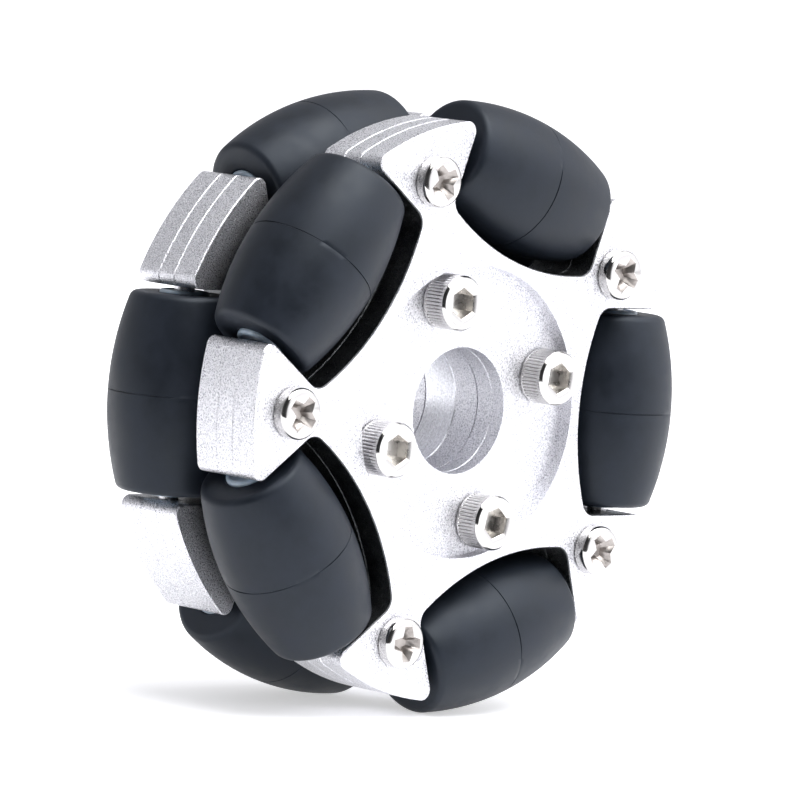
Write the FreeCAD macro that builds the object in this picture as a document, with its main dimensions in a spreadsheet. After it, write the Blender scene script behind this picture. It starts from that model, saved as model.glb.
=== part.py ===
import FreeCAD, Part
import math
import os
import Sketcher
from FreeCAD import Placement, Rotation, Vector

# Double-row omni wheel, 60 mm across.  The wheel turns about Y, its front
# face looks along -Y, +Z is up, and the origin is the centre of the wheel.
# An angle around the wheel runs from +X towards +Z.
#
# Each row is a sandwich of three star-shaped plates.  The roller pins lie in
# slots of the middle plate, and five pan head screws clamp the stack.  Four
# long socket head screws hold both rows and the hub spacer together.

DIMENSIONS = [
    ("wheel_radius", 30.0),
    ("roller_radius", 6.6),
    ("roller_length", 19.2),
    ("roller_edge_round", 0.8),
    ("core_radius", 2.4),
    ("core_length", 19.8),
    ("pin_radius", 1.0),
    ("pin_length", 26.0),
    ("pin_clearance", 0.05),
    ("rim_radius", 28.3),
    ("rim_corner_round", 1.0),
    ("window_half_width", 10.3),
    ("window_floor", 15.5),
    ("window_floor_radius", 26.0),
    ("window_corner_round", 1.6),
    ("outer_thickness", 2.9),
    ("middle_thickness", 2.2),
    ("inner_thickness", 2.9),
    ("plate_edge_break", 0.1),
    ("row_gap", 4.4),
    ("recess_radius", 14.3),
    ("recess_depth", 1.4),
    ("bore_radius", 6.2),
    ("bore_edge_break", 0.15),
    ("spacer_radius", 13.8),
    ("hub_circle_radius", 11.25),
    ("hub_hole_radius", 1.6),
    ("ear_hole_radius", 1.35),
    ("hub_screw_radius", 1.5),
    ("hub_screw_length", 20.0),
    ("socket_head_radius", 2.7),
    ("socket_head_height", 3.0),
    ("socket_edge_break", 0.2),
    ("socket_across_flats", 2.6),
    ("socket_depth", 1.5),
    ("nut_across_flats", 5.5),
    ("nut_height", 2.4),
    ("ear_screw_radius", 1.25),
    ("ear_screw_length", 7.4),
    ("pan_head_radius", 2.5),
    ("pan_head_height", 1.7),
    ("pan_head_wall", 1.0),
    ("cross_arm_length", 1.55),
    ("cross_arm_width", 0.75),
    ("cross_depth", 1.1),
]

EARS = 5
HUB_SCREWS = 4
EAR_STEP = 360.0 / EARS
# Angle from straight up to the ear that lines up with a hub screw.
FRONT_TURN = 18.0
BACK_TURN = FRONT_TURN - 180.0
AGAINST_Y = Vector(0, -1, 0)

doc = FreeCAD.newDocument("OmniWheel")
sheet = doc.addObject("Spreadsheet::Sheet", "Dims")
for row, (alias, value) in enumerate(DIMENSIONS, start=1):
    sheet.set("A%d" % row, alias)
    sheet.set("B%d" % row, str(value))
    sheet.setAlias("B%d" % row, alias)
doc.recompute()

pieces = []


# ---------------------------------------------------------------- helpers

def size(alias):
    """Value of one cell of the sheet."""
    return float(sheet.get(alias))


def new_body(label, placement=None):
    body = doc.addObject("PartDesign::Body", label)
    body.Label = label
    if placement is not None:
        body.Placement = placement
    pieces.append(body)
    return body


def new_sketch(body, name, plane="XZ_Plane", level=None):
    """Sketch on one of the body's own planes, raised along its normal by level."""
    sketch = body.newObject("Sketcher::SketchObject", name)
    origin_plane = [p for p in body.Origin.OriginFeatures if p.Role == plane][0]
    sketch.AttachmentSupport = [(origin_plane, "")]
    sketch.MapMode = "FlatFace"
    if level is not None:
        sketch.setExpression("AttachmentOffset.Base.z", level)
    return sketch


def bind(sketch, kind, references, value, name, formula):
    """Named dimension of a sketch, driven by the sheet."""
    index = sketch.addConstraint(Sketcher.Constraint(kind, *references, value))
    sketch.renameConstraint(index, name)
    sketch.setExpression("Constraints." + name, formula)


def circle(sketch, name, radius, height=None):
    """Circle on the sketch's vertical axis, or on its origin if height is None."""
    start = Vector(0, 1 if height else 0, 0)
    index = sketch.addGeometry(Part.Circle(start, Vector(0, 0, 1), 1.0), False)
    bind(sketch, "Radius", (index,), 1.0, name + "_radius", radius)
    if height is None:
        sketch.addConstraint(Sketcher.Constraint("Coincident", index, 3, -1, 1))
    else:
        sketch.addConstraint(Sketcher.Constraint("PointOnObject", index, 3, -2))
        bind(sketch, "DistanceY", (-1, 1, index, 3), 1.0, name + "_height", height)
    return index


def pad(body, sketch, name, length, reverse=False):
    feature = body.newObject("PartDesign::Pad", name)
    feature.Profile = sketch
    feature.Reversed = reverse
    feature.setExpression("Length", length)
    return feature


def cut(body, sketch, name, depth=None, reverse=True):
    """Pocket of a depth, or through everything on the padded side."""
    feature = body.newObject("PartDesign::Pocket", name)
    feature.Profile = sketch
    feature.Reversed = reverse
    if depth is None:
        feature.Type = "ThroughAll"
    else:
        feature.setExpression("Length", depth)
    return feature


def around(body, feature, sketch, name, count):
    """Repeat a feature evenly round the sketch's normal."""
    pattern = body.newObject("PartDesign::PolarPattern", name)
    pattern.Originals = [feature]
    pattern.Axis = (sketch, ["N_Axis"])
    pattern.Angle = 360
    pattern.Occurrences = count
    body.Tip = pattern
    doc.recompute()
    return pattern


def dress(body, kind, base, name, chosen, amount, formula):
    """Fillet or chamfer on the edges of base that chosen() accepts."""
    edges = []
    for index, edge in enumerate(base.Shape.Edges, start=1):
        if chosen(edge):
            edges.append("Edge%d" % index)
    feature = body.newObject("PartDesign::" + kind, name)
    feature.Base = (base, edges)
    feature.setExpression(amount, formula)
    doc.recompute()
    return feature


def upright_at(radius):
    """Edges along Y that stand at this distance from the axis."""
    def chosen(edge):
        ends = [vertex.Point for vertex in edge.Vertexes]
        if len(ends) != 2 or abs(ends[0].y - ends[1].y) < 0.1:
            return False
        return all(abs(math.hypot(p.x, p.z) - radius) < 0.01 for p in ends)
    return chosen


def flat_beyond(radius):
    """Edges that lie in a face of the plate, all further out than radius."""
    def chosen(edge):
        box = edge.BoundBox
        if box.YLength > 0.01:
            return False
        middle = edge.valueAt((edge.FirstParameter + edge.LastParameter) / 2)
        return math.hypot(middle.x, middle.z) > radius
    return chosen


def bore_edge(edge):
    """The circular edges at the ends of the bore."""
    box = edge.BoundBox
    return box.YLength < 0.01 and abs(box.XLength / 2 - size("bore_radius")) < 0.01


def polar(radius, angle):
    turn = math.radians(angle)
    return Vector(radius * math.cos(turn), 0, radius * math.sin(turn))


# ---------------------------------------------------------------- plates

def window_sketch(body):
    """Opening for one roller, straight down from the centre.

    Straight sides, a floor that bulges towards the hub, open past the rim.
    """
    half = size("window_half_width")
    floor = size("window_floor")
    bow = size("window_floor_radius")
    outside = size("wheel_radius") + 2
    centre = -(floor + bow)
    corner = centre + math.sqrt(bow ** 2 - half ** 2)
    swing = math.asin(half / bow)

    sketch = new_sketch(body, "Window")
    arc = Part.ArcOfCircle(
        Part.Circle(Vector(0, centre, 0), Vector(0, 0, 1), bow),
        math.pi / 2 - swing, math.pi / 2 + swing)
    sketch.addGeometry(arc, False)
    corners = [
        Vector(-half, corner, 0),
        Vector(-half, -outside, 0),
        Vector(half, -outside, 0),
        Vector(half, corner, 0),
    ]
    for start, end in zip(corners, corners[1:]):
        sketch.addGeometry(Part.LineSegment(start, end), False)
    joins = [(0, 2, 1, 1), (1, 2, 2, 1), (2, 2, 3, 1), (3, 2, 0, 1)]
    for join in joins:
        sketch.addConstraint(Sketcher.Constraint("Coincident", *join))
    sketch.addConstraint(Sketcher.Constraint("Vertical", 1))
    sketch.addConstraint(Sketcher.Constraint("Vertical", 3))
    sketch.addConstraint(Sketcher.Constraint("PointOnObject", 0, 3, -2))
    sketch.addConstraint(Sketcher.Constraint("Symmetric", 2, 1, 2, 2, -2))
    bind(sketch, "Radius", (0,), bow, "bow", "Dims.window_floor_radius")
    bind(sketch, "DistanceY", (0, 3, -1, 1), -centre, "bow_centre",
         "Dims.window_floor + Dims.window_floor_radius")
    bind(sketch, "DistanceX", (2, 1, 2, 2), 2 * half, "width",
         "2 * Dims.window_half_width")
    bind(sketch, "DistanceY", (2, 1, -1, 1), outside, "reach",
         "Dims.wheel_radius + 2")
    return sketch


def slot_sketch(body):
    """Pin slot across both ears beside the window that is straight down."""
    half_length = size("pin_length") / 2
    half_width = size("pin_radius")
    level = -(size("wheel_radius") - size("roller_radius"))
    sketch = new_sketch(body, "PinSlot")
    corners = [
        Vector(-half_length, level - half_width, 0),
        Vector(half_length, level - half_width, 0),
        Vector(half_length, level + half_width, 0),
        Vector(-half_length, level + half_width, 0),
    ]
    for index in range(4):
        line = Part.LineSegment(corners[index], corners[(index + 1) % 4])
        sketch.addGeometry(line, False)
    for index in range(4):
        join = (index, 2, (index + 1) % 4, 1)
        sketch.addConstraint(Sketcher.Constraint("Coincident", *join))
    sketch.addConstraint(Sketcher.Constraint("Horizontal", 2))
    for index in (1, 3):
        sketch.addConstraint(Sketcher.Constraint("Vertical", index))
    sketch.addConstraint(Sketcher.Constraint("Symmetric", 0, 1, 0, 2, -2))
    bind(sketch, "DistanceX", (0, 1, 0, 2), 2 * half_length, "length", "Dims.pin_length")
    bind(sketch, "DistanceY", (1, 1, 1, 2), 2 * half_width, "width", "2 * Dims.pin_radius")
    bind(sketch, "DistanceY", (0, 1, -1, 1), half_width - level, "outer_side",
         "Dims.wheel_radius - Dims.roller_radius + Dims.pin_radius")
    return sketch


def star_plate(label, thickness, placement, ear_hole, recessed=False, slotted=False):
    """One plate of a row, with an ear and a hub hole straight up.

    It is padded towards -Y from its own origin.
    """
    body = new_body(label, placement)
    outline = new_sketch(body, "Outline")
    circle(outline, "rim", "Dims.rim_radius")
    disc = pad(body, outline, "Disc", thickness)

    window = window_sketch(body)
    opening = cut(body, window, "Opening")
    star = around(body, opening, window, "Star", EARS)

    half = size("window_half_width")
    bow = size("window_floor_radius")
    corner = size("window_floor") + bow - math.sqrt(bow ** 2 - half ** 2)
    rounded = dress(body, "Fillet", star, "WindowCorners",
                    upright_at(math.hypot(half, corner)),
                    "Radius", "Dims.window_corner_round")
    rounded = dress(body, "Fillet", rounded, "EarCorners",
                    upright_at(size("rim_radius")),
                    "Radius", "Dims.rim_corner_round")
    dress(body, "Chamfer", rounded, "EdgeBreak",
          flat_beyond(size("window_floor") - 1),
          "Size", "Dims.plate_edge_break")

    bore = new_sketch(body, "Bore")
    circle(bore, "bore", "Dims.bore_radius")
    bore_cut = cut(body, bore, "BoreCut")
    if slotted:
        doc.recompute()
        dress(body, "Chamfer", bore_cut, "BoreBreak", bore_edge,
              "Size", "Dims.bore_edge_break")

    hub_hole = new_sketch(body, "HubHole")
    circle(hub_hole, "hole", "Dims.hub_hole_radius", "Dims.hub_circle_radius")
    hub_cut = cut(body, hub_hole, "HubHoleCut")
    around(body, hub_cut, hub_hole, "HubHoles", HUB_SCREWS)

    ear_sketch = new_sketch(body, "EarHole")
    circle(ear_sketch, "hole", ear_hole, "Dims.wheel_radius - Dims.roller_radius")
    ear_cut = cut(body, ear_sketch, "EarHoleCut")
    around(body, ear_cut, ear_sketch, "EarHoles", EARS)

    if slotted:
        slot = slot_sketch(body)
        slot_cut = cut(body, slot, "PinSlotCut")
        around(body, slot_cut, slot, "PinSlots", EARS)
    if recessed:
        recess = new_sketch(body, "Recess", level=thickness)
        circle(recess, "recess", "Dims.recess_radius")
        cut(body, recess, "RecessCut", "Dims.recess_depth", reverse=False)
    return body


def row_placement(turn, front):
    """Turn of a row's plates; the back row is the front row turned over."""
    spin = Rotation(AGAINST_Y, turn)
    if front:
        return Placement(Vector(), spin)
    return Placement(Vector(), spin.multiply(Rotation(Vector(0, 0, 1), 180)))


def build_row(name, turn, front):
    sign = "-" if front else ""
    inner_face = "Dims.row_gap / 2"
    stack = [
        ("inner_plate", "Dims.inner_thickness", inner_face, "Dims.ear_screw_radius"),
        ("middle_plate", "Dims.middle_thickness",
         inner_face + " + Dims.inner_thickness", "Dims.ear_hole_radius"),
        ("outer_plate", "Dims.outer_thickness",
         inner_face + " + Dims.inner_thickness + Dims.middle_thickness",
         "Dims.ear_hole_radius"),
    ]
    for piece, thickness, start, hole in stack:
        body = star_plate("%s_%s" % (name, piece), thickness, row_placement(turn, front),
                          hole, recessed=piece == "outer_plate",
                          slotted=piece == "middle_plate")
        body.setExpression("Placement.Base.y", "%s(%s)" % (sign, start))


# ---------------------------------------------------------------- hub spacer

def hub_spacer():
    """Turned ring between the two rows."""
    body = new_body("hub_spacer", Placement(Vector(), Rotation(AGAINST_Y, FRONT_TURN)))
    section = new_sketch(body, "Section")
    circle(section, "outside", "Dims.spacer_radius")
    circle(section, "bore", "Dims.bore_radius")
    ring = pad(body, section, "Ring", "Dims.row_gap")
    doc.recompute()
    dress(body, "Chamfer", ring, "BoreBreak", bore_edge,
          "Size", "Dims.bore_edge_break")
    hole = new_sketch(body, "HubHole")
    circle(hole, "hole", "Dims.hub_hole_radius", "Dims.hub_circle_radius")
    hole_cut = cut(body, hole, "HubHoleCut")
    around(body, hole_cut, hole, "HubHoles", HUB_SCREWS)
    body.setExpression("Placement.Base.y", "Dims.row_gap / 2")
    return body


# ---------------------------------------------------------------- rollers

def roller_profile(body):
    """Half section of a tread: the wheel's own circle over a flat bore."""
    half = size("roller_length") / 2
    wheel = size("wheel_radius")
    offset = wheel - size("roller_radius")
    swing = math.asin(half / wheel)
    end_radius = math.sqrt(wheel ** 2 - half ** 2) - offset
    inner = size("core_radius")
    sketch = new_sketch(body, "HalfSection", "XY_Plane")
    arc = Part.ArcOfCircle(
        Part.Circle(Vector(0, -offset, 0), Vector(0, 0, 1), wheel),
        math.pi / 2 - swing, math.pi / 2 + swing)
    sketch.addGeometry(arc, False)
    corners = [
        Vector(-half, end_radius, 0),
        Vector(-half, inner, 0),
        Vector(half, inner, 0),
        Vector(half, end_radius, 0),
    ]
    for start, end in zip(corners, corners[1:]):
        sketch.addGeometry(Part.LineSegment(start, end), False)
    joins = [(0, 2, 1, 1), (1, 2, 2, 1), (2, 2, 3, 1), (3, 2, 0, 1)]
    for join in joins:
        sketch.addConstraint(Sketcher.Constraint("Coincident", *join))
    sketch.addConstraint(Sketcher.Constraint("Vertical", 1))
    sketch.addConstraint(Sketcher.Constraint("Vertical", 3))
    sketch.addConstraint(Sketcher.Constraint("PointOnObject", 0, 3, -2))
    sketch.addConstraint(Sketcher.Constraint("Symmetric", 2, 1, 2, 2, -2))
    bind(sketch, "Radius", (0,), wheel, "crown", "Dims.wheel_radius")
    bind(sketch, "DistanceY", (0, 3, -1, 1), offset, "crown_centre",
         "Dims.wheel_radius - Dims.roller_radius")
    bind(sketch, "DistanceX", (2, 1, 2, 2), 2 * half, "length", "Dims.roller_length")
    bind(sketch, "DistanceY", (-1, 1, 2, 1), inner, "bore", "Dims.core_radius")
    return sketch


def round_shoulders(edge):
    """The two circular edges where a tread's crown meets its end faces."""
    if len(edge.Vertexes) != 1:
        return False
    box = edge.BoundBox
    return box.XLength < 0.01 and box.YLength > 3 * size("core_radius")


def place_on_pin(body, angle, row_sign):
    """Put a piece made along X on the roller axis at this angle of the wheel."""
    body.Placement = Placement(Vector(), Rotation(AGAINST_Y, angle + 90))
    reach = "(Dims.wheel_radius - Dims.roller_radius)"
    body.setExpression("Placement.Base.x", "%s * cos(%.1f deg)" % (reach, angle))
    body.setExpression("Placement.Base.z", "%s * sin(%.1f deg)" % (reach, angle))
    body.setExpression(
        "Placement.Base.y",
        "%s(Dims.row_gap / 2 + Dims.inner_thickness + Dims.middle_thickness / 2)" % row_sign)


def tread(label):
    body = new_body(label)
    profile = roller_profile(body)
    barrel = body.newObject("PartDesign::Revolution", "Barrel")
    barrel.Profile = profile
    barrel.ReferenceAxis = (profile, ["H_Axis"])
    barrel.Angle = 360
    doc.recompute()
    dress(body, "Fillet", barrel, "Shoulders", round_shoulders,
          "Radius", "Dims.roller_edge_round")
    return body


def rod(label, radius, length, bore=None):
    """Rod or tube along X, centred on its own origin."""
    body = new_body(label)
    section = new_sketch(body, "Section", "YZ_Plane")
    circle(section, "outside", radius)
    if bore is not None:
        circle(section, "bore", bore)
    feature = pad(body, section, "Length", length)
    feature.Midplane = True
    return body


def build_rollers(name, first_angle, row_sign):
    for number in range(1, EARS + 1):
        angle = first_angle - (number - 1) * EAR_STEP
        pieces_on_pin = [
            tread("%s_roller_%d" % (name, number)),
            rod("%s_roller_core_%d" % (name, number), "Dims.core_radius",
                "Dims.core_length", "Dims.pin_radius + Dims.pin_clearance"),
            rod("%s_roller_pin_%d" % (name, number), "Dims.pin_radius",
                "Dims.pin_length"),
        ]
        for body in pieces_on_pin:
            place_on_pin(body, angle, row_sign)


# ---------------------------------------------------------------- fasteners

def hexagon(across_flats, height, centre):
    """Hexagonal prism along +Y from centre, with flats towards +Z and -Z."""
    corner_radius = across_flats / math.sqrt(3)
    points = [centre + polar(corner_radius, 60 * k) for k in range(7)]
    face = Part.Face(Part.makePolygon(points))
    return face.extrude(Vector(0, height, 0))


def turned(outline):
    """Solid of revolution about Y from (radius, y) points."""
    points = [Vector(radius, y, 0) for radius, y in outline]
    face = Part.Face(Part.makePolygon(points + points[:1]))
    return face.revolve(Vector(0, 0, 0), Vector(0, 1, 0), 360)


def socket_screw():
    """Socket head cap screw; the head's seat is at y = 0, the shank along +Y."""
    head = size("socket_head_radius")
    height = size("socket_head_height")
    edge = size("socket_edge_break")
    shank = size("hub_screw_radius")
    length = size("hub_screw_length")
    body = turned([
        (0, -height), (head - edge, -height), (head, edge - height), (head, 0),
        (shank, 0), (shank, length - edge), (shank - edge, length), (0, length),
    ])
    socket = hexagon(size("socket_across_flats"), size("socket_depth"),
                     Vector(0, -height, 0))
    return body.cut(socket)


def pan_screw():
    """Pan head cross recess screw; seat at y = 0, shank along +Y."""
    head = size("pan_head_radius")
    height = size("pan_head_height")
    wall = size("pan_head_wall")
    shank = size("ear_screw_radius")
    length = size("ear_screw_length")
    rise = height - wall
    shoulder = Vector(head, -wall, 0)
    crown = Vector(0, -height, 0)
    dome_radius = (head ** 2 + rise ** 2) / (2 * rise)
    bulge = math.asin(head / dome_radius) / 2
    halfway = Vector(dome_radius * math.sin(bulge),
                     dome_radius * (1 - math.cos(bulge)) - height, 0)
    corners = [shoulder, Vector(head, 0, 0), Vector(shank, 0, 0),
               Vector(shank, length, 0), Vector(0, length, 0), crown]
    edges = [Part.LineSegment(start, end).toShape()
             for start, end in zip(corners, corners[1:])]
    edges.append(Part.Arc(crown, halfway, shoulder).toShape())
    face = Part.Face(Part.Wire(edges))
    body = face.revolve(Vector(0, 0, 0), Vector(0, 1, 0), 360)
    arm = size("cross_arm_length")
    width = size("cross_arm_width")
    depth = size("cross_depth")
    for quarter in range(2):
        bar = Part.makeBox(2 * arm, depth + 0.1, width,
                           Vector(-arm, -height - 0.1, -width / 2))
        bar.rotate(Vector(0, 0, 0), Vector(0, 1, 0), 90 * quarter)
        body = body.cut(bar)
    return body


def hex_nut():
    """Nut with its seat at y = 0, standing along +Y."""
    height = size("nut_height")
    across = size("nut_across_flats")
    nut = hexagon(across, height, Vector(0, 0, 0))
    corner = across / math.sqrt(3)
    crown = (corner - across / 2) / math.sqrt(3)
    envelope = turned([
        (0, 0), (across / 2, 0), (corner, crown), (corner, height - crown),
        (across / 2, height), (0, height),
    ])
    hole = Part.makeCylinder(size("hub_screw_radius"), height, Vector(0, 0, 0),
                             Vector(0, 1, 0))
    return nut.common(envelope).cut(hole)


def fastener_group(label, shape, radius, angles, seat, flipped=False):
    """Identical fasteners on a circle, as separate solids of one piece."""
    copies = []
    for angle in angles:
        copy = shape.copy()
        if flipped:
            copy.rotate(Vector(0, 0, 0), Vector(0, 0, 1), 180)
        copy.rotate(Vector(0, 0, 0), AGAINST_Y, angle - 90)
        copy.translate(polar(radius, angle))
        copies.append(copy)
    group = doc.addObject("Part::Feature", label)
    group.Label = label
    group.Shape = Part.makeCompound(copies)
    group.Placement = Placement(Vector(0, seat, 0), Rotation())
    pieces.append(group)
    return group


def build_fasteners():
    half_width = (size("row_gap") / 2 + size("inner_thickness")
                  + size("middle_thickness") + size("outer_thickness"))
    hub_seat = half_width - size("recess_depth")
    ear_radius = size("wheel_radius") - size("roller_radius")
    hub_angles = [90 + FRONT_TURN - 90 * k for k in range(HUB_SCREWS)]
    front_angles = [90 + FRONT_TURN - EAR_STEP * k for k in range(EARS)]
    back_angles = [90 + BACK_TURN - EAR_STEP * k for k in range(EARS)]
    hub_radius = size("hub_circle_radius")
    fastener_group("hub_screws", socket_screw(), hub_radius, hub_angles, -hub_seat)
    fastener_group("hub_nuts", hex_nut(), hub_radius, hub_angles, hub_seat)
    fastener_group("front_ear_screws", pan_screw(), ear_radius, front_angles, -half_width)
    fastener_group("back_ear_screws", pan_screw(), ear_radius, back_angles, half_width,
                   flipped=True)


# ---------------------------------------------------------------- the wheel

build_row("front", FRONT_TURN, True)
build_row("back", BACK_TURN, False)
hub_spacer()
build_rollers("front", 90 + FRONT_TURN - EAR_STEP / 2, "-")
build_rollers("back", 90 + BACK_TURN + 180 - EAR_STEP, "")
build_fasteners()
doc.recompute()

for item in doc.Objects:
    state = [word for word in item.State if word in ("Invalid", "Error")]
    if state:
        raise RuntimeError("%s is %s" % (item.Label, state))
for piece in pieces:
    if piece.Shape.isNull() or not piece.Shape.isValid():
        raise RuntimeError("%s has no valid shape" % piece.Label)

os.makedirs("parts", exist_ok=True)
for piece in pieces:
    piece.Shape.exportStep("parts/%s.step" % piece.Label)
    print("%-24s %9.2f mm3" % (piece.Label, piece.Shape.Volume))
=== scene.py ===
import math

import bmesh
import bpy
from mathutils import Matrix, Vector


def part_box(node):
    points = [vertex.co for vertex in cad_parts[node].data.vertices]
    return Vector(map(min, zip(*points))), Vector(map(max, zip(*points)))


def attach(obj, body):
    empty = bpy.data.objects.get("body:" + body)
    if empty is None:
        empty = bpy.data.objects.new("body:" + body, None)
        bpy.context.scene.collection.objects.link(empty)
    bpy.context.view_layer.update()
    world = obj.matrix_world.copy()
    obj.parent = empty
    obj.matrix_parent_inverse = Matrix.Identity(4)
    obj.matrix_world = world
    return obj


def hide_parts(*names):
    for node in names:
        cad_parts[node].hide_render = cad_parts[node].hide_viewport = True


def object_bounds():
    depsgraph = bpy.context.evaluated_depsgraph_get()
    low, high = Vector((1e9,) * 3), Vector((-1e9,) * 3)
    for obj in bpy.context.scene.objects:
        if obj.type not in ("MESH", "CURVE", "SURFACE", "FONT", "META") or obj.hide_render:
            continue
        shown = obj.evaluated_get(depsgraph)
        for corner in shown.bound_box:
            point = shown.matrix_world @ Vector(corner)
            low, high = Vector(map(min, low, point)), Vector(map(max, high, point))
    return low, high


# Double-row omni wheel.  The wheel's axis is Y, its front face looks along
# -Y and +Z is up.  Places and main sizes are read from the frame.

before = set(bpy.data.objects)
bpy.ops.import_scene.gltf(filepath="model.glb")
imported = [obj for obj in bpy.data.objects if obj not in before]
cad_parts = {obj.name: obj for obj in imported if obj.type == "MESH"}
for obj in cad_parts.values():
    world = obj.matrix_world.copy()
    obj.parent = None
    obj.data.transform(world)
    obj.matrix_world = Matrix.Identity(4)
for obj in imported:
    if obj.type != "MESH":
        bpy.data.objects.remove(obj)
cad_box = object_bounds()

MM = 0.001
ROWS = ("front", "back")
ROLLERS = range(1, 6)
LATHE_STEPS = 96
# Edges that turn by more than this many radians stay sharp.
SHARP_ANGLE = 0.6

# Small details that the frame doesn't hold.
PARTING_LINE_WIDTH = 0.14 * MM
PARTING_LINE_DEPTH = 0.12 * MM
SHOULDER_ROUND = 0.8 * MM
CORE_EDGE_ROUND = 0.3 * MM
CORE_LIP_WIDTH = 0.45 * MM
CORE_LIP_DEPTH = 0.12 * MM

SOCKET_HEAD_HEIGHT = 3.0 * MM
SOCKET_SHANK_RADIUS = 1.5 * MM
SOCKET_ACROSS_FLATS = 2.66 * MM
SOCKET_DEPTH = 1.5 * MM
SOCKET_MOUTH_CHAMFER = 0.12 * MM
KNURLS = 48
KNURL_DEPTH = 0.17 * MM
KNURL_LOW = 0.4 * MM
KNURL_HIGH = 2.25 * MM

# The plates' painted shade: it fades out towards the rim and starts outside the
# hub recess.  A wall turns into a face where its normal leans this far along
# the wheel's axis, and the faces between the rows get nearly the full painted shade.
RIM_RADIUS = 28.3 * MM
SHADE_FADES = 3.5 * MM
SHADE_ENDS = 1.2 * MM
RECESS_RADIUS = 14.3 * MM
SHADE_STARTS = 0.1 * MM
SHADE_FULL = 0.5 * MM
ROW_GAP = 4.4 * MM
FACE_LEAN = (0.75, 0.95)
SHADE_BETWEEN_ROWS = 0.96

# Clockwise turn in degrees of each hub screw's socket from a corner straight
# up, and of each ear screw's cross.  The back crosses are turned at will.
SOCKET_TURNS = (6, 12, 0, 0)
CROSS_TURNS = {"front": (29, 56, 0, 35, 57), "back": (0, 50, 15, 70, 35)}

PAN_HEAD_HEIGHT = 1.7 * MM
PAN_HEAD_RISE = 0.3 * MM
PAN_HEAD_ROUND = 0.55 * MM
PAN_SHANK_RADIUS = 1.25 * MM
# Wing reach, wing half width and inner corner of the cross recess.
CROSS_MOUTH = (1.85 * MM, 0.48 * MM, 0.74 * MM)
CROSS_BOTTOM = (0.75 * MM, 0.24 * MM, 0.36 * MM)
CROSS_DEPTH = 1.2 * MM

NUT_ACROSS_FLATS = 5.5 * MM
NUT_HEIGHT = 2.4 * MM


# ------------------------------------------------------------ mesh helpers

def centre_of(box):
    return (box[0] + box[1]) / 2


def solids_of(node):
    """Boxes of the separate solids in a CAD node, clockwise from straight up."""
    net = bmesh.new()
    net.from_mesh(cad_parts[node].data)
    bmesh.ops.remove_doubles(net, verts=net.verts, dist=0.001 * MM)
    waiting = set(net.verts)
    boxes = []
    while waiting:
        reached = {waiting.pop()}
        solid = set()
        while reached:
            vertex = reached.pop()
            solid.add(vertex)
            for edge in vertex.link_edges:
                other = edge.other_vert(vertex)
                if other in waiting:
                    waiting.discard(other)
                    reached.add(other)
        low = Vector(min(v.co[axis] for v in solid) for axis in range(3))
        high = Vector(max(v.co[axis] for v in solid) for axis in range(3))
        boxes.append((low, high))
    net.free()

    def clock(box):
        middle = centre_of(box)
        return round(math.atan2(middle.x, middle.z) % math.tau, 3)

    return sorted(boxes, key=clock)


def soften(corners, steps=6):
    """Outline through (radius, height, round) corners, with arcs where round > 0."""
    outline = []
    for index, (radius, height, rounding) in enumerate(corners):
        corner = Vector((radius, height))
        if rounding == 0:
            outline.append(corner)
            continue
        before = (Vector(corners[index - 1][:2]) - corner).normalized()
        after = (Vector(corners[(index + 1) % len(corners)][:2]) - corner).normalized()
        half_angle = before.angle(after) / 2
        centre = corner + (before + after).normalized() * (rounding / math.sin(half_angle))
        start = corner + before * (rounding / math.tan(half_angle)) - centre
        end = corner + after * (rounding / math.tan(half_angle)) - centre
        first = math.atan2(start.y, start.x)
        sweep = (math.atan2(end.y, end.x) - first + math.pi) % math.tau - math.pi
        for step in range(steps + 1):
            angle = first + sweep * step / steps
            outline.append(centre + rounding * Vector((math.cos(angle), math.sin(angle))))
    return outline


def finish_mesh(net, name, materials):
    """Turn a bmesh into a mesh with smooth faces and sharp corners."""
    bmesh.ops.recalc_face_normals(net, faces=net.faces)
    for face in net.faces:
        face.smooth = True
    for edge in net.edges:
        edge.smooth = edge.is_manifold and edge.calc_face_angle() < SHARP_ANGLE
    mesh = bpy.data.meshes.new(name)
    net.to_mesh(mesh)
    net.free()
    for material in materials:
        mesh.materials.append(material)
    return mesh


def lathe(name, outline, materials, steps=LATHE_STEPS, closed=False, shape=None):
    """Solid turned about local Z from (radius, height) points.

    A closed outline makes a ring; an open one starts and ends on the axis.
    shape(turn, radius, height) may return another radius, as for a knurl.
    """
    net = bmesh.new()
    rings = []
    for radius, height in outline:
        if radius < 1e-9:
            rings.append([net.verts.new((0, 0, height))])
            continue
        ring = []
        for step in range(steps):
            turn = math.tau * step / steps
            reach = shape(turn, radius, height) if shape else radius
            ring.append(net.verts.new((reach * math.cos(turn), reach * math.sin(turn), height)))
        rings.append(ring)
    pairs = list(zip(rings, rings[1:]))
    if closed:
        pairs.append((rings[-1], rings[0]))
    for lower, upper in pairs:
        for step in range(steps):
            following = (step + 1) % steps
            corners = [lower[step % len(lower)], lower[following % len(lower)],
                       upper[following % len(upper)], upper[step % len(upper)]]
            face = list(dict.fromkeys(corners))
            if len(face) > 2:
                net.faces.new(face)
    return finish_mesh(net, name, materials)


def loft(name, sections, materials):
    """Closed solid through polygons with equal numbers of points."""
    net = bmesh.new()
    rings = [[net.verts.new(point) for point in section] for section in sections]
    for lower, upper in zip(rings, rings[1:]):
        for index in range(len(lower)):
            following = (index + 1) % len(lower)
            net.faces.new([lower[index], lower[following], upper[following], upper[index]])
    net.faces.new(rings[0][::-1])
    net.faces.new(rings[-1])
    return finish_mesh(net, name, materials)


def polygon(sides, across_flats, height, turn=0.0):
    radius = across_flats / 2 / math.cos(math.pi / sides)
    points = []
    for side in range(sides):
        angle = turn + math.tau * side / sides
        points.append(Vector((radius * math.cos(angle), radius * math.sin(angle), height)))
    return points


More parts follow.
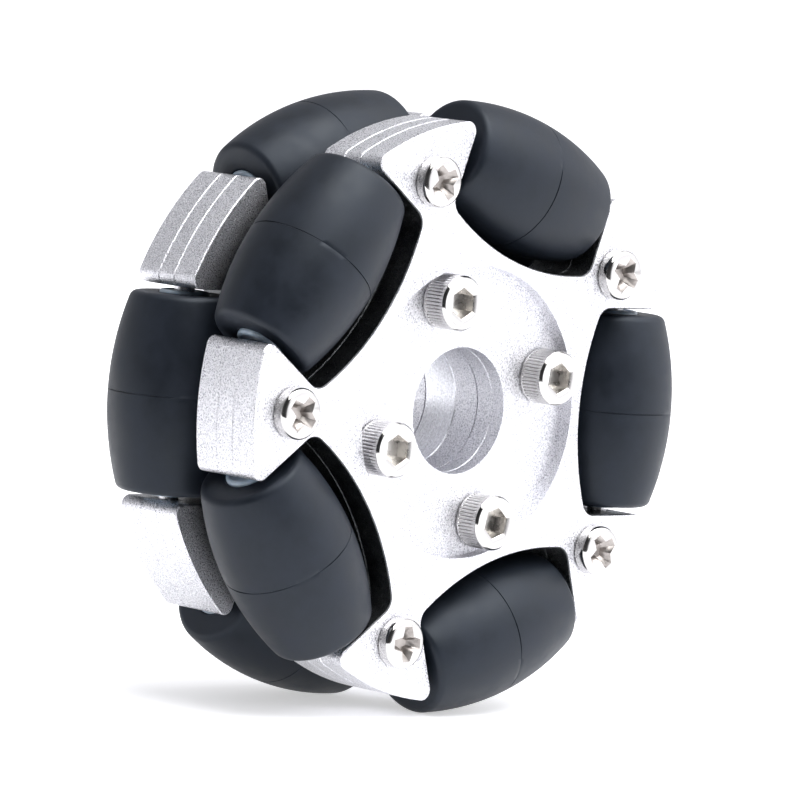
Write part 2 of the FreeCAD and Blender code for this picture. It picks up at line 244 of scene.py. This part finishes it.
def place(name, mesh, matrix=None):
    """New object; a matrix moves a copy of the mesh, and the object stays at the origin."""
    if matrix is not None:
        mesh = mesh.copy()
        mesh.transform(matrix)
    mesh.name = name
    piece = bpy.data.objects.new(name, mesh)
    bpy.context.scene.collection.objects.link(piece)
    return piece


def combine(mesh, tool, operation):
    """Boolean of two meshes."""
    solid = place("solid", mesh)
    cutter = place("cutter", tool)
    change = solid.modifiers.new("change", "BOOLEAN")
    change.object = cutter
    change.operation = operation
    change.solver = "EXACT"
    change.material_mode = "TRANSFER"
    bpy.context.view_layer.update()
    graph = bpy.context.evaluated_depsgraph_get()
    result = bpy.data.meshes.new_from_object(solid.evaluated_get(graph))
    result.name = mesh.name
    bpy.data.objects.remove(solid)
    bpy.data.objects.remove(cutter)
    return result


def frame_at(origin, axis, up):
    """Matrix whose local Z is axis and whose local X is nearest to up."""
    z = axis.normalized()
    x = (up - up.dot(z) * z).normalized()
    y = z.cross(x)
    turn = Matrix((x, y, z)).transposed()
    return Matrix.Translation(origin) @ turn.to_4x4()


# ------------------------------------------------------------ materials

class Finish:
    """A material under construction, with short names for what is used often."""

    def __init__(self, name, colour, metallic, roughness):
        self.material = bpy.data.materials.new(name)
        self.material.use_nodes = True
        self.tree = self.material.node_tree
        self.shader = self.tree.nodes["Principled BSDF"]
        self.shader.inputs["Base Color"].default_value = (*colour, 1)
        self.shader.inputs["Metallic"].default_value = metallic
        self.shader.inputs["Roughness"].default_value = roughness
        self.where = self.tree.nodes.new("ShaderNodeTexCoord").outputs["Object"]
        self.normal = None

    def noise(self, size, detail=2.0, stretch=None):
        """Noise whose grains are about size metres across."""
        node = self.tree.nodes.new("ShaderNodeTexNoise")
        node.inputs["Scale"].default_value = 1 / size
        node.inputs["Detail"].default_value = detail
        node.inputs["Roughness"].default_value = 0.6
        if stretch is None:
            self.tree.links.new(self.where, node.inputs["Vector"])
        else:
            mapping = self.tree.nodes.new("ShaderNodeMapping")
            mapping.inputs["Scale"].default_value = stretch
            self.tree.links.new(self.where, mapping.inputs["Vector"])
            self.tree.links.new(mapping.outputs["Vector"], node.inputs["Vector"])
        return node.outputs["Fac"]

    def ramp(self, value, stops):
        """Colour ramp through (position, colour) stops."""
        node = self.tree.nodes.new("ShaderNodeValToRGB")
        points = node.color_ramp.elements
        while len(points) < len(stops):
            points.new(0.5)
        for point, (position, colour) in zip(points, stops):
            point.position = position
            point.color = (*colour, 1)
        self.tree.links.new(value, node.inputs["Fac"])
        return node.outputs["Color"]

    def level(self, value, low, high, start=0.3, end=0.7):
        """Value stretched from start..end to low..high."""
        node = self.tree.nodes.new("ShaderNodeMapRange")
        node.inputs["From Min"].default_value = start
        node.inputs["From Max"].default_value = end
        node.inputs["To Min"].default_value = low
        node.inputs["To Max"].default_value = high
        self.tree.links.new(value, node.inputs["Value"])
        return node.outputs["Result"]

    def maths(self, operation, first, second=None):
        """Result of a maths node on one or two values."""
        node = self.tree.nodes.new("ShaderNodeMath")
        node.operation = operation
        self.tree.links.new(first, node.inputs[0])
        if second is not None:
            self.tree.links.new(second, node.inputs[1])
        return node.outputs["Value"]

    def blend(self, share, first, second):
        """Colour that goes from first to second as share goes from 0 to 1."""
        node = self.tree.nodes.new("ShaderNodeMix")
        node.data_type = "RGBA"
        self.tree.links.new(share, node.inputs["Factor"])
        self.tree.links.new(first, node.inputs["A"])
        self.tree.links.new(second, node.inputs["B"])
        return node.outputs["Result"]

    def bump(self, height, distance):
        """Relief up to distance metres high, on top of any relief added before."""
        node = self.tree.nodes.new("ShaderNodeBump")
        node.inputs["Strength"].default_value = 1.0
        node.inputs["Distance"].default_value = distance
        self.tree.links.new(height, node.inputs["Height"])
        if self.normal is not None:
            self.tree.links.new(self.normal, node.inputs["Normal"])
        self.normal = node.outputs["Normal"]
        self.tree.links.new(self.normal, self.shader.inputs["Normal"])

    def drive(self, socket, value):
        self.tree.links.new(value, self.shader.inputs[socket])

    def set(self, socket, value):
        self.shader.inputs[socket].default_value = value


def window_shade_mask(finish):
    """Mask of painted shade: 1 on the walls of the roller windows and on the faces
    between the two rows, 0 on the outer faces, the rims and the recess."""
    split = finish.tree.nodes.new("ShaderNodeSeparateXYZ")
    finish.tree.links.new(finish.where, split.inputs["Vector"])
    radius = finish.maths("SQRT", finish.maths(
        "ADD",
        finish.maths("MULTIPLY", split.outputs["X"], split.outputs["X"]),
        finish.maths("MULTIPLY", split.outputs["Z"], split.outputs["Z"])))
    facing = finish.tree.nodes.new("ShaderNodeSeparateXYZ")
    geometry = finish.tree.nodes.new("ShaderNodeNewGeometry")
    finish.tree.links.new(geometry.outputs["True Normal"], facing.inputs["Vector"])
    upright = finish.maths("ABSOLUTE", facing.outputs["Y"])
    inside = finish.level(radius, 1, 0, RIM_RADIUS - SHADE_FADES, RIM_RADIUS - SHADE_ENDS)
    outside = finish.level(radius, 0, 1, RECESS_RADIUS + SHADE_STARTS, RECESS_RADIUS + SHADE_FULL)
    depth = finish.maths("ABSOLUTE", split.outputs["Y"])
    between = finish.level(depth, SHADE_BETWEEN_ROWS, 0,
                           ROW_GAP / 2 + 0.02 * MM, ROW_GAP / 2 + 0.08 * MM)
    walls = finish.maths("MAXIMUM", finish.level(upright, 1, 0, *FACE_LEAN), between)
    return finish.maths("MULTIPLY", finish.maths("MULTIPLY", inside, outside), walls)


def blasted_aluminium():
    """Cast plates, sand-blasted: bright metal with a fine sparkling grain.  The
    walls beside the rollers and the faces between the rows get a near-black
    painted shade.  A dark film is a guess at the reason, which may only be
    shadow."""
    finish = Finish("cast_aluminium_grain_painted_shade", (0.86, 0.86, 0.88), 1.0, 0.3)
    grain = finish.noise(0.13 * MM, 2)
    patches = finish.noise(2.0 * MM, 3)
    metal = finish.blend(
        finish.level(patches, 0, 0.4),
        finish.ramp(grain, [(0.36, (0.46, 0.46, 0.50)), (0.57, (0.93, 0.93, 0.97))]),
        finish.ramp(grain, [(0.40, (0.58, 0.58, 0.62)), (0.58, (0.98, 0.98, 1.0))]))
    # Painted shade: near-black colour laid on the window walls and on the faces between the rows.
    painted_shade = finish.ramp(patches, [(0.3, (0.07, 0.075, 0.08)), (0.7, (0.16, 0.165, 0.17))])
    finish.drive("Base Color", finish.blend(window_shade_mask(finish), metal, painted_shade))
    finish.drive("Roughness", finish.level(grain, 0.24, 0.38))
    finish.bump(finish.noise(0.9 * MM, 2), 0.05 * MM)
    finish.bump(grain, 0.10 * MM)
    return finish.material


def turned_aluminium():
    """Machined ring with fine tool marks round the wheel's axis."""
    finish = Finish("turned_aluminium_lines", (0.66, 0.67, 0.70), 1.0, 0.3)
    lines = finish.noise(0.5 * MM, 3, stretch=(0.1, 4.0, 0.1))
    speckle = finish.noise(0.2 * MM, 2)
    finish.drive("Base Color", finish.ramp(speckle, [
        (0.35, (0.60, 0.60, 0.64)), (0.62, (0.84, 0.85, 0.89))]))
    finish.drive("Roughness", finish.level(lines, 0.22, 0.38))
    finish.bump(lines, 0.012 * MM)
    finish.bump(speckle, 0.04 * MM)
    return finish.material


def roller_rubber():
    """Matt black moulded rubber with a faint mottle."""
    finish = Finish("roller_rubber_black", (0.011, 0.012, 0.014), 0.0, 0.5)
    mottle = finish.noise(3.0 * MM, 4)
    finish.drive("Base Color", finish.ramp(mottle, [
        (0.35, (0.004, 0.006, 0.010)), (0.68, (0.009, 0.012, 0.019))]))
    skin = finish.noise(0.12 * MM, 3)
    finish.drive("Roughness", finish.level(mottle, 0.41, 0.56))
    finish.bump(finish.noise(1.6 * MM, 3), 0.008 * MM)
    finish.bump(skin, 0.004 * MM)
    finish.set("Specular IOR Level", 0.33)
    finish.set("Specular Tint", (0.82, 0.90, 1.0, 1))
    return finish.material


def nylon():
    """Bluish translucent nylon of the roller sleeves."""
    finish = Finish("nylon_sleeve", (0.42, 0.50, 0.57), 0.0, 0.35)
    cloud = finish.noise(1.2 * MM, 3)
    finish.drive("Base Color", finish.ramp(cloud, [
        (0.3, (0.24, 0.31, 0.38)), (0.7, (0.40, 0.47, 0.55))]))
    finish.bump(finish.noise(0.2 * MM, 2), 0.006 * MM)
    finish.set("Subsurface Weight", 0.35)
    finish.set("Subsurface Radius", (0.5, 0.7, 0.9))
    finish.set("Subsurface Scale", 1.0 * MM)
    return finish.material


def bright_steel(name, colour, roughness):
    """Plated steel with faint handling marks."""
    finish = Finish(name, colour, 1.0, roughness)
    smear = finish.noise(0.7 * MM, 4)
    finish.drive("Roughness", finish.level(smear, roughness * 0.7, roughness * 1.5))
    finish.bump(finish.noise(0.25 * MM, 3), 0.0025 * MM)
    return finish.material


def recess_steel_painted_shade(name, dark, light, roughness):
    """Duller plating inside a driver recess, coloured in patches from a dark painted shade to a
    lighter tone.
    """
    finish = Finish(name, light, 1.0, roughness)
    shade_patches = finish.noise(1.1 * MM, 3)
    # Painted shade: the dark stop darkens the recess in random patches.
    finish.drive("Base Color", finish.ramp(shade_patches, [(0.25, dark), (0.6, light)]))
    finish.drive("Roughness", finish.level(shade_patches, roughness * 0.8, roughness * 1.3))
    finish.bump(finish.noise(0.15 * MM, 2), 0.006 * MM)
    return finish.material


CAST = blasted_aluminium()
TURNED = turned_aluminium()
RUBBER = roller_rubber()
NYLON = nylon()
NICKEL = bright_steel("nickel_plate", (0.56, 0.55, 0.54), 0.10)
CROSS = recess_steel_painted_shade("cross_plating_painted_shade", (0.20, 0.185, 0.175), (0.42, 0.39, 0.37), 0.34)
SOCKET = recess_steel_painted_shade("socket_plating_painted_shade", (0.45, 0.43, 0.415), (0.76, 0.74, 0.71), 0.27)
PIN = bright_steel("pin_steel_ground", (0.66, 0.66, 0.67), 0.22)
NUT = bright_steel("nut_zinc_plate", (0.74, 0.76, 0.79), 0.24)


def dress_node(node, material):
    """Give a CAD node its finish."""
    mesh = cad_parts[node].data
    mesh.materials.clear()
    mesh.materials.append(material)


# ------------------------------------------------------------ plates, pins

def dress_frame():
    for row in ROWS:
        for plate in ("outer_plate", "middle_plate", "inner_plate"):
            dress_node("%s_%s" % (row, plate), CAST)
        for number in ROLLERS:
            dress_node("%s_roller_pin_%d" % (row, number), PIN)
    dress_node("hub_spacer", TURNED)


# ------------------------------------------------------------ rollers

def upright_size(node):
    """Length and radius of a round piece whose axis lies along Z."""
    low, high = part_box(node)
    return high.z - low.z, (high.y - low.y) / 2


# Roller 2 of the front row is level with the wheel's axis, so it stands upright.
TREAD_LENGTH, TREAD_RADIUS = upright_size("front_roller_2")
CORE_LENGTH, CORE_RADIUS = upright_size("front_roller_core_2")
PIN_RADIUS = upright_size("front_roller_pin_2")[1]
ROLLER_CIRCLE = centre_of(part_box("front_roller_pin_2")).x
WHEEL_RADIUS = ROLLER_CIRCLE + TREAD_RADIUS


def crown_radius(height):
    """Radius of a tread at a height along its axis: the wheel's own circle."""
    return math.sqrt(WHEEL_RADIUS ** 2 - height ** 2) - ROLLER_CIRCLE


def tread_mesh():
    half = TREAD_LENGTH / 2
    shoulder_height = half - SHOULDER_ROUND
    inner_reach = WHEEL_RADIUS - SHOULDER_ROUND
    swing = math.asin(shoulder_height / inner_reach)
    shoulder_radius = inner_reach * math.cos(swing) - ROLLER_CIRCLE
    crown_top = WHEEL_RADIUS * math.sin(swing)

    mouth_width = 0.2 * MM
    mouth_depth = 0.15 * MM
    line = PARTING_LINE_WIDTH / 2
    upper = [(crown_radius(0), 0), (crown_radius(line / 2), line / 2)]
    crown_steps = 22
    for step in range(crown_steps + 1):
        height = line + (crown_top - line) * step / crown_steps
        upper.append((crown_radius(height), height))
    round_steps = 7
    for step in range(1, round_steps + 1):
        angle = swing + (math.pi / 2 - swing) * step / round_steps
        upper.append((shoulder_radius + SHOULDER_ROUND * math.cos(angle),
                      shoulder_height + SHOULDER_ROUND * math.sin(angle)))
    upper.append((CORE_RADIUS + mouth_width, half))
    upper.append((CORE_RADIUS, half - mouth_depth))
    lower = [(radius, -height) for radius, height in reversed(upper[1:])]

    def parting_line(turn, radius, height):
        """A shallow groove at mid-length, of uneven depth."""
        if abs(height) > 0.6 * line or radius < 2 * CORE_RADIUS:
            return radius
        uneven = 0.5 + 0.3 * math.sin(3 * turn + 1) + 0.2 * math.sin(7 * turn)
        return radius - PARTING_LINE_DEPTH * uneven

    return lathe("tread", lower + upper, [RUBBER], closed=True, shape=parting_line)


def core_mesh():
    half = CORE_LENGTH / 2
    bore = PIN_RADIUS + 0.05 * MM
    lip = CORE_RADIUS - CORE_LIP_WIDTH
    end = [(CORE_RADIUS, half, CORE_EDGE_ROUND), (lip, half, 0.05 * MM),
           (lip - 0.1 * MM, half - CORE_LIP_DEPTH, 0.05 * MM),
           (bore, half - CORE_LIP_DEPTH, 0.1 * MM)]
    other_end = [(radius, -height, rounding) for radius, height, rounding in reversed(end)]
    return lathe("core", soften(other_end + end), [NYLON], steps=64, closed=True)


def build_rollers():
    tread = tread_mesh()
    core = core_mesh()
    for row in ROWS:
        for number in ROLLERS:
            node = "%s_roller_%d" % (row, number)
            core_node = "%s_roller_core_%d" % (row, number)
            centre = centre_of(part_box(node))
            outward = Vector((centre.x, 0, centre.z))
            along = outward.cross(Vector((0, 1, 0)))
            matrix = frame_at(centre, along, outward)
            for name, mesh, replaced, slot in (
                    (row + "_tread_%d" % number, tread, node, "roller_rubber"),
                    (row + "_sleeve_%d" % number, core, core_node, "nylon")):
                piece = place(name, mesh, matrix)
                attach(piece, node + "_body")
                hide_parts(replaced)


# ------------------------------------------------------------ hub screws

def knurl(turn, radius, height):
    """Narrow straight grooves round the middle of the head."""
    if KNURL_LOW < height < KNURL_HIGH and radius > 2 * MM:
        return radius - KNURL_DEPTH * max(0, math.cos(KNURLS * turn)) ** 2
    return radius


def socket_screw_mesh(head_radius, shank_length):
    """Socket head screw: seat at local z = 0, head up, shank down."""
    height = SOCKET_HEAD_HEIGHT
    shank = SOCKET_SHANK_RADIUS
    run_out = 0.12 * MM
    tip = 0.35 * MM
    tip_round = 0.05 * MM
    undercut = head_radius - 0.35 * MM
    undercut_height = 0.13 * MM
    corners = [
        (0, -shank_length, 0),
        (shank - tip, -shank_length, tip_round),
        (shank, tip - shank_length, tip_round),
        (shank, 0, 0),
        (undercut, 0, 0),
        (undercut, undercut_height, 0),
        (head_radius - 0.06 * MM, undercut_height, 0),
        (head_radius, 0.2 * MM, 0),
        (head_radius, KNURL_LOW, 0),
        (head_radius, KNURL_LOW + run_out, 0),
        (head_radius, KNURL_HIGH - run_out, 0),
        (head_radius, KNURL_HIGH, 0),
        (head_radius, height - 0.26 * MM, 0.1 * MM),
        (head_radius - 0.22 * MM, height, 0.1 * MM),
        (0, height, 0),
    ]
    body = lathe("hub_screw", soften(corners), [NICKEL], steps=6 * KNURLS, shape=knurl)
    hexagon = loft("socket", [
        polygon(6, SOCKET_ACROSS_FLATS, height - SOCKET_DEPTH),
        polygon(6, SOCKET_ACROSS_FLATS, height - SOCKET_MOUTH_CHAMFER),
        polygon(6, SOCKET_ACROSS_FLATS + MM, height - SOCKET_MOUTH_CHAMFER + MM / 2),
    ], [SOCKET])
    return combine(body, hexagon, "DIFFERENCE")


def build_hub_screws():
    mesh = None
    for number, box in enumerate(solids_of("hub_screws"), start=1):
        low, high = box
        head_radius = (high.x - low.x) / 2
        seat = low.y + SOCKET_HEAD_HEIGHT
        if mesh is None:
            mesh = socket_screw_mesh(head_radius, high.y - seat)
        centre = centre_of(box)
        origin = Vector((centre.x, seat, centre.z))
        turn = math.radians(SOCKET_TURNS[number - 1])
        up = Vector((math.sin(turn), 0, math.cos(turn)))
        piece = place("hub_screw_%d" % number, mesh, frame_at(origin, Vector((0, -1, 0)), up))
        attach(piece, "frame")
        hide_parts("hub_screws")


def nut_mesh():
    height = NUT_HEIGHT
    flat = NUT_ACROSS_FLATS / 2
    corner = flat / math.cos(math.pi / 6)
    drop = (corner - flat) * math.tan(math.radians(30))
    bore = SOCKET_SHANK_RADIUS
    lead_in = 0.3 * MM
    face = flat - 0.1 * MM
    reach = corner + 0.02 * MM
    prism = loft("hub_nut", [polygon(6, NUT_ACROSS_FLATS, 0), polygon(6, NUT_ACROSS_FLATS, height)],
                 [NUT])
    ring = [
        (bore, lead_in), (bore + lead_in, 0), (face, 0),
        (reach, drop), (reach, height - drop),
        (face, height), (bore + lead_in, height), (bore, height - lead_in),
    ]
    envelope = lathe("envelope", ring, [NUT], closed=True)
    return combine(prism, envelope, "INTERSECT")


def across_spoke(centre):
    """Direction square to the spoke through a point, in the wheel's plane."""
    return Vector((-centre.z, 0, centre.x))


def build_nuts():
    mesh = nut_mesh()
    for number, box in enumerate(solids_of("hub_nuts"), start=1):
        centre = centre_of(box)
        origin = Vector((centre.x, box[0].y, centre.z))
        # A corner points across the spoke, so a flat faces the wall of the recess.
        matrix = frame_at(origin, Vector((0, 1, 0)), across_spoke(centre))
        piece = place("hub_nut_%d" % number, mesh, matrix)
        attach(piece, "frame")
        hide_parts("hub_nuts")


# ------------------------------------------------------------ ear screws

def cross_section(size, height):
    """Outline of the cross recess: wing reach, wing half width, inner corner."""
    reach, half_width, inner = size
    points = []
    for quarter in range(4):
        turn = Matrix.Rotation(math.pi / 2 * quarter, 3, "Z")
        for x, y in ((reach, -half_width), (reach, half_width), (inner, inner)):
            points.append(turn @ Vector((x, y, 0)) + Vector((0, 0, height)))
    return points


def pan_screw_mesh(head_radius, shank_length):
    """Pan head cross recess screw: seat at local z = 0, head up, shank down."""
    height = PAN_HEAD_HEIGHT
    shank = PAN_SHANK_RADIUS
    dome = (head_radius ** 2 + PAN_HEAD_RISE ** 2) / (2 * PAN_HEAD_RISE)
    swing = math.asin((head_radius - 1.5 * PAN_HEAD_ROUND) / dome)
    tip = 0.3 * MM
    undercut = head_radius - 0.3 * MM
    undercut_height = 0.1 * MM
    corners = [
        (0, -shank_length, 0), (shank - tip, -shank_length, 0),
        (shank, tip - shank_length, 0), (shank, 0, 0),
        (undercut, 0, 0), (undercut, undercut_height, 0),
        (head_radius - 0.05 * MM, undercut_height, 0), (head_radius, 0.16 * MM, 0),
        (head_radius, height - PAN_HEAD_RISE, PAN_HEAD_ROUND),
    ]
    steps = 16
    for step in range(steps + 1):
        angle = swing * (1 - step / steps)
        corners.append((dome * math.sin(angle), height - dome * (1 - math.cos(angle)), 0))
    body = lathe("ear_screw", soften(corners), [NICKEL])
    above = 0.5 * MM
    top = [mouth + (mouth - bottom) / CROSS_DEPTH * above
           for mouth, bottom in zip(CROSS_MOUTH, CROSS_BOTTOM)]
    cross = loft("cross", [
        cross_section(CROSS_BOTTOM, height - CROSS_DEPTH),
        cross_section(top, height + above),
    ], [CROSS])
    return combine(body, cross, "DIFFERENCE")


def build_ear_screws():
    mesh = None
    for row in ROWS:
        out = Vector((0, -1 if row == "front" else 1, 0))
        node = row + "_ear_screws"
        for number, box in enumerate(solids_of(node), start=1):
            low, high = box
            if mesh is None:
                mesh = pan_screw_mesh((high.x - low.x) / 2, high.y - low.y - PAN_HEAD_HEIGHT)
            centre = centre_of(box)
            top = low.y if row == "front" else high.y
            origin = Vector((centre.x, top, centre.z)) - out * PAN_HEAD_HEIGHT
            turn = math.radians(CROSS_TURNS[row][number - 1])
            up = Vector((math.sin(turn), 0, math.cos(turn)))
            piece = place("%s_ear_screw_%d" % (row, number), mesh, frame_at(origin, out, up))
            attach(piece, "frame")
            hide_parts(node)


# ------------------------------------------------------------ studio

CAMERA_AZIMUTH = -44.56
CAMERA_ELEVATION = 4.76
CAMERA_ROLL = 4.70
CAMERA_DISTANCE = 545.6 * MM
CAMERA_AIM = Vector((0.31, -0.30, 0.04)) * MM
CAMERA_LENS = 250.2

# The table in metres, and the light of its own that it gives near and far.
TABLE_SIZE = 40
TABLE_EDGE = 0.13
GLOW_NEAR = 0.5
GLOW_FAR = 0.62
GLOW_RISES = (0.05, 0.25)

# Brightness round the horizon, from where the camera stands (0) to behind the
# wheel (1), and its factors overhead and at the camera's left and right.
HORIZON = ((0.0, 0.04), (0.12, 0.08), (0.27, 0.9), (0.6, 0.95), (1.0, 0.6))
OVERHEAD = 0.7
LEFT = 0.68
RIGHT = 2.1


def toward(azimuth, elevation):
    """Direction from the wheel to a place; azimuth 0 is in front, 90 on the right."""
    a = math.radians(azimuth)
    e = math.radians(elevation)
    return Vector((math.sin(a) * math.cos(e), -math.cos(a) * math.cos(e), math.sin(e)))


def build_camera():
    data = bpy.data.cameras.new("camera")
    data.lens = CAMERA_LENS
    data.clip_start = 10 * MM
    data.clip_end = 100
    camera = bpy.data.objects.new("camera", data)
    bpy.context.scene.collection.objects.link(camera)
    back = toward(CAMERA_AZIMUTH, CAMERA_ELEVATION)
    level = back.to_track_quat("Z", "Y").to_matrix().to_4x4()
    roll = Matrix.Rotation(math.radians(CAMERA_ROLL), 4, "Z")
    camera.matrix_world = (Matrix.Translation(CAMERA_AIM + back * CAMERA_DISTANCE)
                           @ level @ roll)
    bpy.context.scene.camera = camera


def build_floor():
    """White table that ends a hand's width in front of the wheel."""
    front = toward(CAMERA_AZIMUTH, 0)
    side = toward(CAMERA_AZIMUTH + 90, 0)
    down = Vector((0, 0, cad_box[0].z))
    near = front * TABLE_EDGE
    far_left = -side * TABLE_SIZE - front * TABLE_SIZE
    far_right = side * TABLE_SIZE - front * TABLE_SIZE
    mesh = bpy.data.meshes.new("floor")
    corners = [near - side * TABLE_SIZE + down, near + side * TABLE_SIZE + down,
               far_right + down, far_left + down]
    mesh.from_pydata(corners, [], [(0, 1, 2, 3)])
    finish = Finish("floor_white", (0.86, 0.86, 0.88), 0.0, 0.7)
    finish.set("Specular IOR Level", 0.1)
    finish.set("Emission Color", (1.0, 1.0, 1.0, 1))
    # A little light of its own keeps the far part of the table white.
    far = finish.tree.nodes.new("ShaderNodeVectorMath")
    far.operation = "LENGTH"
    finish.tree.links.new(finish.where, far.inputs[0])
    glow = finish.level(far.outputs["Value"], GLOW_NEAR, GLOW_FAR, *GLOW_RISES)
    finish.drive("Emission Strength", glow)
    mesh.materials.append(finish.material)
    place("floor", mesh)


def softbox(name, azimuth, elevation, distance, width, height, watts):
    """White rectangular lamp that faces the wheel, hidden from the camera."""
    data = bpy.data.lights.new(name, "AREA")
    data.shape = "RECTANGLE"
    data.size = width
    data.size_y = height
    data.energy = watts
    lamp = bpy.data.objects.new(name, data)
    bpy.context.scene.collection.objects.link(lamp)
    back = toward(azimuth, elevation)
    turn = back.to_track_quat("Z", "Y").to_matrix().to_4x4()
    lamp.matrix_world = Matrix.Translation(back * distance) @ turn
    lamp.visible_camera = False


def build_world():
    """White to the camera.  For light and reflections: bright at both sides of the
    wheel, dark where the camera stands, greyer behind and above."""
    world = bpy.data.worlds.new("studio")
    bpy.context.scene.world = world
    world.use_nodes = True
    nodes = world.node_tree.nodes
    links = world.node_tree.links
    nodes.clear()
    where = nodes.new("ShaderNodeTexCoord").outputs["Generated"]

    flat = nodes.new("ShaderNodeVectorMath")
    flat.operation = "MULTIPLY"
    flat.inputs[1].default_value = (1, 1, 0)
    links.new(where, flat.inputs[0])
    level = nodes.new("ShaderNodeVectorMath")
    level.operation = "NORMALIZE"
    links.new(flat.outputs["Vector"], level.inputs[0])
    away = nodes.new("ShaderNodeVectorMath")
    away.operation = "DOT_PRODUCT"
    away.inputs[1].default_value = -toward(CAMERA_AZIMUTH, 0)
    links.new(level.outputs["Vector"], away.inputs[0])
    share = nodes.new("ShaderNodeMapRange")
    share.inputs["From Min"].default_value = -1
    links.new(away.outputs["Value"], share.inputs["Value"])
    ramp = nodes.new("ShaderNodeValToRGB")
    points = ramp.color_ramp.elements
    while len(points) < len(HORIZON):
        points.new(0.5)
    for point, (position, grey) in zip(points, HORIZON):
        point.position = position
        point.color = (grey, grey, grey * 1.04, 1)
    links.new(share.outputs["Result"], ramp.inputs["Fac"])

    split = nodes.new("ShaderNodeSeparateXYZ")
    links.new(where, split.inputs["Vector"])
    above = nodes.new("ShaderNodeMapRange")
    above.interpolation_type = "SMOOTHSTEP"
    above.inputs["From Min"].default_value = 0.1
    above.inputs["From Max"].default_value = 0.5
    above.inputs["To Min"].default_value = 1.0
    above.inputs["To Max"].default_value = OVERHEAD
    links.new(split.outputs["Z"], above.inputs["Value"])

    right = nodes.new("ShaderNodeVectorMath")
    right.operation = "DOT_PRODUCT"
    right.inputs[1].default_value = toward(CAMERA_AZIMUTH + 90, 0)
    links.new(where, right.inputs[0])
    sides = nodes.new("ShaderNodeMapRange")
    sides.inputs["From Min"].default_value = -1
    sides.inputs["To Min"].default_value = LEFT
    sides.inputs["To Max"].default_value = RIGHT
    links.new(right.outputs["Value"], sides.inputs["Value"])
    strength = nodes.new("ShaderNodeMath")
    strength.operation = "MULTIPLY"
    links.new(above.outputs["Result"], strength.inputs[0])
    links.new(sides.outputs["Result"], strength.inputs[1])

    light = nodes.new("ShaderNodeBackground")
    links.new(ramp.outputs["Color"], light.inputs["Color"])
    links.new(strength.outputs["Value"], light.inputs["Strength"])
    white = nodes.new("ShaderNodeBackground")
    white.inputs["Color"].default_value = (1, 1, 1, 1)
    path = nodes.new("ShaderNodeLightPath")
    mix = nodes.new("ShaderNodeMixShader")
    out = nodes.new("ShaderNodeOutputWorld")
    links.new(path.outputs["Is Camera Ray"], mix.inputs["Fac"])
    links.new(light.outputs["Background"], mix.inputs[1])
    links.new(white.outputs["Background"], mix.inputs[2])
    links.new(mix.outputs["Shader"], out.inputs["Surface"])


def build_studio():
    build_camera()
    build_floor()
    build_world()
    softbox("right_softbox", 40, 44, 1.0, 1.5, 0.9, 5)
    softbox("top_softbox", 0, 68, 0.9, 0.8, 0.8, 12)
    bpy.context.scene.view_settings.view_transform = "Standard"


dress_frame()
build_rollers()
build_hub_screws()
build_nuts()
build_ear_screws()
build_studio()
